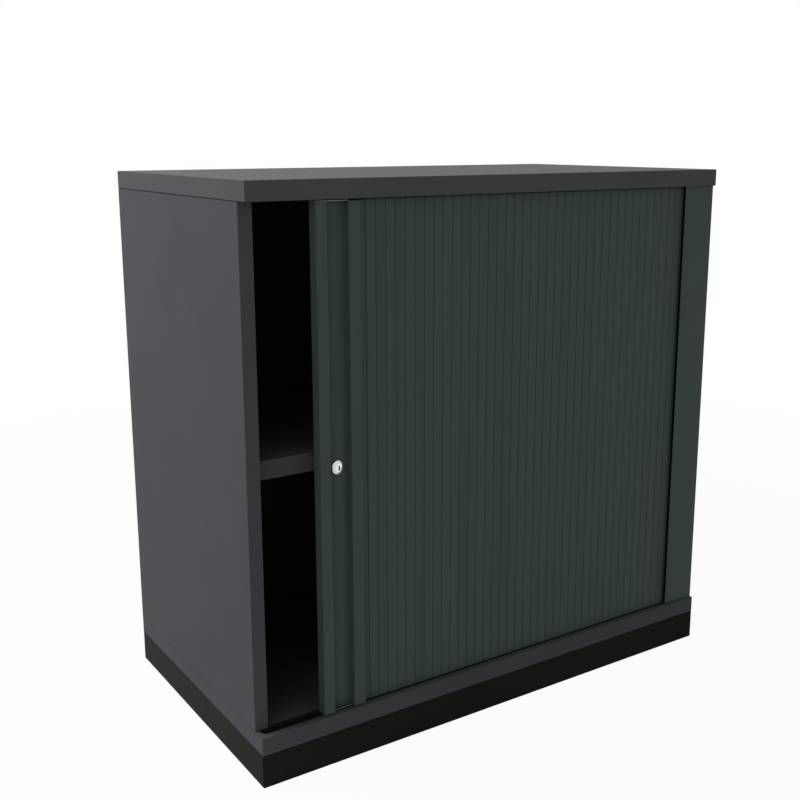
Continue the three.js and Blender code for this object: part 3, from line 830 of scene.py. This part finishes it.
def model_slat(pitch, thickness, low_z, high_z):
    """A slat about its middle line: rounded face, tapered back, bead on one side, groove on the other."""
    slit = 0.3 * MM
    lip = 1.0 * MM
    half = (pitch - slit) / 2
    back_half = 6.1 * MM
    bead_inset = 1.0 * MM
    bead_reach = 0.7 * MM
    groove_inset = bead_inset - 0.15 * MM
    groove_depth = 0.9 * MM
    face_y = -thickness / 2
    slat = cuboid("slat_01", (-half, face_y, low_z), (half, thickness / 2, high_z))
    with shaping(slat):
        split_at((0, 0, 0), BACK)
        choose_faces(BACK)
        bpy.ops.transform.resize(value=(back_half / half, 1, 1), center_override=(0, thickness / 2, 0))

        def face_edge(start, end):
            return parallel(start, end, UP) and start.y < face_y + 0.1 * MM

        round_edges(face_edge, lip, 3)
        choose_faces(RIGHT, lambda centre: centre.y < 0)
        bpy.ops.mesh.inset(thickness=bead_inset, depth=0)
        pull(bead_reach, RIGHT)
        choose_faces(LEFT, lambda centre: centre.y < 0)
        bpy.ops.mesh.inset(thickness=groove_inset, depth=0)
        pull(groove_depth, RIGHT)
        straighten()
    return slat


def remember_rest(piece, tone):
    """Keeps each point's place and the slat's tone, so that the finish stays on a slat that moves."""
    rest = piece.data.attributes.new("rest_place", "FLOAT_VECTOR", "POINT")
    for number, vertex in enumerate(piece.data.vertices):
        rest.data[number].vector = vertex.co
    shade = piece.data.attributes.new("slat_tone", "FLOAT", "POINT")
    for point in shade.data:
        point.value = tone


def make_curtain(material):
    front_low, front_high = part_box("curtain_front")
    tail_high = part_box("curtain_tail")[1]
    pitch = 15 * MM
    start_x = front_low.x
    front_count = round((front_high.x - front_low.x) / pitch)
    tail_count = 10
    tone_seed = 15
    run_y = (front_low.y + front_high.y) / 2
    thickness = front_high.y - front_low.y
    run_x = tail_high.x - thickness / 2
    bend_x = run_x - BEND_RADIUS
    blended_length = run_x - start_x
    tones = random.Random(tone_seed)
    pattern = model_slat(pitch, thickness, front_low.z, front_high.z)
    for number in range(front_count + tail_count):
        length = start_x + pitch * (number + 0.5)
        place, turn = curtain_place(length, bend_x, run_y)
        slat = bpy.data.objects.new(f"slat_{number + 1:02d}", pattern.data.copy())
        bpy.context.scene.collection.objects.link(slat)
        slat.data.transform(Matrix.Translation(place) @ Matrix.Rotation(turn, 4, "Z"))
        slat.data.materials.append(material)
        remember_rest(slat, tones.random())
        node = "curtain_front" if number < front_count else "curtain_tail"
        if place.x < start_x + blended_length - pitch / 2:
            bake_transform(slat)
        else:
            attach(slat, "carcass")
        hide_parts(node)
    bpy.data.objects.remove(pattern)


# Lock
def make_lock(polished, satin, zinc, dark):
    rose_low, rose_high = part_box("lock_housing")
    centre = (rose_low + rose_high) / 2
    middle = Vector((centre.x, 0, centre.z))
    rose_radius = (rose_high.x - rose_low.x) / 2
    rose_depth = 4.2 * MM
    rim_height = 1.0 * MM
    rim_angle = math.radians(38)
    barrel_radius = 7.6 * MM
    bore_radius = 6.4 * MM
    sides = 64
    rose_back = -rose_low.y - rose_depth
    rim = rose_back + rim_height
    dome_radius = rose_radius / math.sin(rim_angle)

    def dome(radius):
        """How far ahead the dome is at a radius."""
        return rim + math.sqrt(dome_radius ** 2 - radius ** 2) - dome_radius * math.cos(rim_angle)

    stations = [
        (barrel_radius - 0.4 * MM, -rose_high.y),
        (barrel_radius, -rose_high.y + 0.4 * MM),
        (barrel_radius, rose_back),
        (rose_radius - 0.2 * MM, rose_back),
        (rose_radius, rose_back + 0.2 * MM),
        (rose_radius, rim - 0.1 * MM),
    ]
    steps = 8
    dome_edge = rose_radius - 0.05 * MM
    for step in range(steps + 1):
        radius = dome_edge + (bore_radius - dome_edge) * step / steps
        stations.append((radius, dome(radius)))
    stations.append((bore_radius - 0.02 * MM, rim - MM))
    rose = turned("lock_rose", middle, FRONT, stations, sides)
    finished(rose, satin, "lock_housing")
    plug_low, plug_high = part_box("lock_cylinder")
    plug_radius = 6.2 * MM
    plug_face_radius = plug_radius - 0.15 * MM
    spigot_radius = 1.8 * MM
    plug_back = -rose_high.y
    plug_stations = [
        (spigot_radius, -plug_high.y),
        (spigot_radius, plug_back),
        (plug_radius, plug_back),
        (plug_radius, dome(plug_radius) - 0.2 * MM),
    ]
    for step in range(steps):
        radius = plug_face_radius * (1 - step / steps)
        plug_stations.append((radius, dome(radius)))
    plug = turned("lock_plug_face", middle, FRONT, plug_stations, sides)
    half_width = 1.1 * MM
    half_height = 3.5 * MM
    keyway_depth = 5 * MM
    keyway = cuboid(
        "keyway",
        (centre.x - half_width, plug_low.y - MM, centre.z - half_height),
        (centre.x + half_width, plug_low.y + keyway_depth, centre.z + half_height),
    )
    carve(plug, keyway)
    smooth(plug)
    finished(plug, polished, "lock_cylinder")
    shutter_front = plug_low.y + 2.6 * MM
    shutter_back = plug_low.y + 4.8 * MM
    shutter_half_width = half_width - 0.05 * MM
    shutter_half_height = half_height - 0.1 * MM
    shutter_radius = 0.4 * MM
    shutter = cuboid(
        "keyway_shutter",
        (centre.x - shutter_half_width, shutter_front, centre.z - shutter_half_height),
        (centre.x + shutter_half_width, shutter_back, centre.z + shutter_half_height),
    )

    def front_edge(start, end):
        return parallel(start, end, UP) and start.y < shutter_front + 0.1 * MM

    with shaping(shutter):
        round_edges(front_edge, shutter_radius)
    finished(shutter, dark, "lock_cylinder")
    plain_parts = {"lock_hex_nut": "lock_nut", "lock_hook": "lock_cam", "lock_striker": "lock_keep"}
    for name, node in plain_parts.items():
        finished(dressed(name, node, 0), zinc, node)
    make_screw("hook_screw", "lock_cam_screw", BACK, zinc)
    make_screw("striker_screw_1", "keep_screw_1", RIGHT, zinc)
    make_screw("striker_screw_2", "keep_screw_2", RIGHT, zinc)


def make_screw(name, node, axis, material):
    """A raised-head screw with a cross recess. Its head is at the far end of the node along the axis."""
    low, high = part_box(node)
    centre = (low + high) / 2
    tip = centre - axis * (high - low).dot(axis) / 2
    length = (high - low).dot(axis)
    head = max((high - low)[index] for index in range(3) if not axis[index]) / 2
    thickness = min(1.2 * MM, length)
    shank = head * 0.55
    point = 0.2 * MM
    point_length = 3 * MM
    stations = [(head, length - thickness)]
    if length > thickness * 2:
        stations = [
            (point, 0),
            (shank, point_length),
            (shank, length - thickness),
            (head, length - thickness),
        ]
    stations += [
        (head, length - thickness * 0.55),
        (head * 0.92, length - thickness * 0.2),
        (head * 0.7, length),
    ]
    sides = 24
    screw = turned(name, tip, axis, stations, sides)
    arm = head * 0.62
    half = head * 0.13
    deep = thickness * 0.6
    top = tip + axis * length
    sideways = [direction for direction in (RIGHT, BACK, UP) if not direction.dot(axis)]
    for first, second in (sideways, sideways[::-1]):
        reach = first * arm + second * half + axis * deep
        carve(screw, cuboid("recess", top - reach, top + reach))
    smooth(screw)
    finished(screw, material, node)


# Shelf pins, feet and their fittings
def make_pins(zinc):
    sunk = 8 * MM
    pin = 2.5 * MM
    chamfer = 0.5 * MM
    rounding = 0.6 * MM
    collar_start = sunk + 0.3 * MM
    collar_rim = sunk + 1.1 * MM
    collar_end = sunk + 1.3 * MM
    sides = 24
    for end in ("front", "rear"):
        for side, inward in (("left", RIGHT), ("right", LEFT)):
            node = f"shelf_pin_{end}_{side}"
            low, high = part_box(node)
            centre = (low + high) / 2
            length = high.x - low.x
            start = centre - inward * length / 2
            collar = (high.z - low.z) / 2
            piece = turned(f"{node}_stud", start, inward, [
                (pin - chamfer, 0), (pin, chamfer), (pin, collar_start),
                (collar, collar_start), (collar, collar_rim), (collar - 0.2 * MM, collar_end),
                (pin, collar_end), (pin, length - rounding), (pin - rounding, length),
            ], sides)
            finished(piece, zinc, node)


def make_feet(zinc, plastic):
    rod = 4 * MM
    neck = 8 * MM
    thread_start = 10 * MM
    bare_length = 11 * MM
    thread_pitch = 1.75 * MM
    thread_root = 0.88
    hexagon_radius = 2.6 * MM
    hexagon_depth = 5 * MM
    block_radius = 1.5 * MM
    plug_chamfer = 5 * MM
    plug = 5.6 * MM
    brim = 1.5 * MM
    dimple = 0.3 * MM
    for corner in ("front_left", "rear_left", "front_right", "rear_right"):
        low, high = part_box(f"foot_{corner}")
        centre = (low + high) / 2
        middle = Vector((centre.x, centre.y, 0))
        pad = (high.x - low.x) / 2
        stations = [
            (pad - 1.5 * MM, 0), (pad, 1.5 * MM), (pad, 4 * MM), (pad - 2 * MM, 4.6 * MM),
            (neck, 6 * MM), (neck, 9 * MM), (rod, 9.6 * MM),
        ]
        turns = int((high.z - bare_length) / thread_pitch)
        for turn in range(turns):
            height = thread_start + turn * thread_pitch
            stations += [(rod, height), (rod * thread_root, height + thread_pitch / 2)]
        stations += [(rod * 0.9, high.z - 0.5 * MM), (rod * 0.75, high.z)]
        foot = turned(f"levelling_foot_{corner}_turned", middle, UP, stations, 32)
        hexagon = turned("hexagon", middle, UP, [
            (hexagon_radius, high.z - hexagon_depth),
            (hexagon_radius, high.z + MM),
        ], 6)
        carve(foot, hexagon)
        smooth(foot)
        finished(foot, zinc, f"foot_{corner}")
        block = dressed(f"foot_block_{corner}", f"foot_socket_{corner}", block_radius)
        finished(block, plastic, f"foot_socket_{corner}")
        cap_low, cap_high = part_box(f"adjuster_cap_{corner}")
        cap = (cap_high.x - cap_low.x) / 2
        height = cap_high.z - cap_low.z
        button = turned(f"cap_{corner}", (centre.x, centre.y, cap_low.z), UP, [
            (plug_chamfer, 0), (plug, MM), (plug, height - brim), (cap, height - brim),
            (cap, height - 0.4 * MM), (cap - 0.4 * MM, height),
            (cap * 0.6, height), (cap * 0.55, height - dimple),
        ], 40)
        finished(button, plastic, f"adjuster_cap_{corner}")


# Tracks, stops and dowels
def make_running_gear(track, rubber, beech):
    buffer_radius = MM
    dowel_chamfer = 1.5 * MM
    dowel_sides = 20
    for node in ("lower_track", "upper_track"):
        finished(dressed(f"{node}_channel", node, 0), track, node)
    for node in ("lower_track_stop", "upper_track_stop"):
        finished(dressed(f"{node}_buffer", node, buffer_radius), rubber, node)
    for level in ("base", "top"):
        for corner in ("front_left", "rear_left", "front_right", "rear_right"):
            node = f"{level}_dowel_{corner}"
            low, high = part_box(node)
            centre = (low + high) / 2
            radius = (high.x - low.x) / 2
            length = high.z - low.z
            pin = turned(f"{node}_turned", (centre.x, centre.y, low.z), UP, [
                (radius - MM, 0),
                (radius, dowel_chamfer),
                (radius, length - dowel_chamfer),
                (radius - MM, length),
            ], dowel_sides)
            finished(pin, beech, node)


# Floor, light and background
def background_rays(tree):
    """1 for the rays that show the background: from the camera, off gloss and through glass."""
    path = tree.nodes.new("ShaderNodeLightPath")
    total = path.outputs["Is Camera Ray"]
    for name in ("Is Glossy Ray", "Is Transmission Ray"):
        either = tree.nodes.new("ShaderNodeMath")
        either.operation = "MAXIMUM"
        tree.links.new(total, either.inputs[0])
        tree.links.new(path.outputs[name], either.inputs[1])
        total = either.outputs[0]
    return total


def add_world(strength):
    world = bpy.context.scene.world or bpy.data.worlds.new("studio")
    bpy.context.scene.world = world
    world.use_nodes = True
    tree = world.node_tree
    tree.nodes.clear()
    light = tree.nodes.new("ShaderNodeBackground")
    light.inputs["Color"].default_value = WHITE
    light.inputs["Strength"].default_value = strength
    white = tree.nodes.new("ShaderNodeBackground")
    white.inputs["Color"].default_value = WHITE
    white.inputs["Strength"].default_value = 1
    mixed = tree.nodes.new("ShaderNodeMixShader")
    output = tree.nodes.new("ShaderNodeOutputWorld")
    tree.links.new(background_rays(tree), mixed.inputs[0])
    tree.links.new(light.outputs[0], mixed.inputs[1])
    tree.links.new(white.outputs[0], mixed.inputs[2])
    tree.links.new(mixed.outputs[0], output.inputs["Surface"])


def add_floor():
    """A pale floor that looks white and still keeps the cabinet's shadow."""
    reach = 30
    shadow_near = 0.9
    shadow_far = 2.2
    white_share = 0.955
    bpy.ops.object.select_all(action="DESELECT")
    bpy.ops.mesh.primitive_plane_add(size=2 * reach, location=(0, 0, 0))
    floor = settled("studio_floor")
    finish = Finish("studio_floor_paint", Specular_IOR_Level=0.0, Roughness=0.9)
    finish.colour(FLOOR)
    tree = finish.tree
    white = tree.nodes.new("ShaderNodeEmission")
    white.inputs["Color"].default_value = WHITE
    white.inputs["Strength"].default_value = 1
    x, y, _ = finish.split(finish.place())
    distance = finish.node("ShaderNodeMath", {"operation": "SQRT"}, {0: x * x + y * y})
    away = finish.ramp(distance, shadow_near, shadow_far)
    whitened = white_share + (1 - white_share) * away
    share = Signal(finish, background_rays(tree)) * whitened
    mixed = tree.nodes.new("ShaderNodeMixShader")
    output = next(node for node in tree.nodes if node.type == "OUTPUT_MATERIAL")
    tree.links.new(share.socket, mixed.inputs[0])
    tree.links.new(finish.shader.outputs[0], mixed.inputs[1])
    tree.links.new(white.outputs[0], mixed.inputs[2])
    tree.links.new(mixed.outputs[0], output.inputs["Surface"])
    floor.data.materials.append(finish.material)


def add_softbox(name, place, target, size, power):
    bpy.ops.object.light_add(type="AREA", location=place)
    lamp = bpy.context.object
    lamp.name = name
    lamp.data.shape = "SQUARE"
    lamp.data.size = size
    lamp.data.energy = power
    lamp.rotation_euler = (Vector(target) - Vector(place)).to_track_quat("-Z", "Y").to_euler()


bpy.context.scene.view_settings.view_transform = "Standard"
add_camera()
add_world(0.38)
add_floor()
add_softbox("key_softbox", (-1.45, 0.65, 2.3), (0, 0, 0.45), 1.3, 50)
add_softbox("left_fill_softbox", (-2.4, -1.5, 1.45), (0, 0, 0.4), 1.6, 10)
add_softbox("right_fill_softbox", (1.5, -2.4, 0.8), (0, 0, 0.3), 1.6, 3)

green = profile_finish()
black_track = track_finish("track_plastic")
grip_left, grip_right, grip_level = grip_ledge()
glider_plastic = track_finish("glider_plastic", (grip_left, grip_right, grip_level))
# Painted shade: the rubber is near-black so that the cover's seal shows as a shadowed gap
black_rubber_and_painted_shade = moulded_finish("seal_rubber_and_painted_shade", RUBBER_AND_PAINTED_SHADE_PALE, RUBBER_AND_PAINTED_SHADE, 0.6, 0.5 * MM)
black_plastic = moulded_finish("fitting_plastic", TRACK_DUSTY, TRACK, 0.45, 0.6 * MM)
polished = chrome_finish("lock_chrome", CHROME, CHROME_HAZY, 0.14)
satin = chrome_finish("lock_satin_chrome", SATIN_CHROME, SATIN_CHROME_HAZY, 0.32)
plated = zinc_finish()
make_boards()
make_running_gear(black_track, black_rubber_and_painted_shade, beech_finish())
make_profile(green)
make_glider("lower_end_glider", "lower_glider", False, glider_plastic)
# The black caps stand in the gap under the ridges as painted shade
make_ridge_shadow_caps(black_rubber_and_painted_shade)
make_glider("upper_end_glider", "upper_glider", True, black_plastic)
make_end_plate(end_plate_finish())
make_cover(green, black_rubber_and_painted_shade)
make_curtain(slat_finish())
make_lock(polished, satin, plated, black_plastic)
make_pins(plated)
make_feet(plated, black_plastic)

bpy.context.view_layer.update()
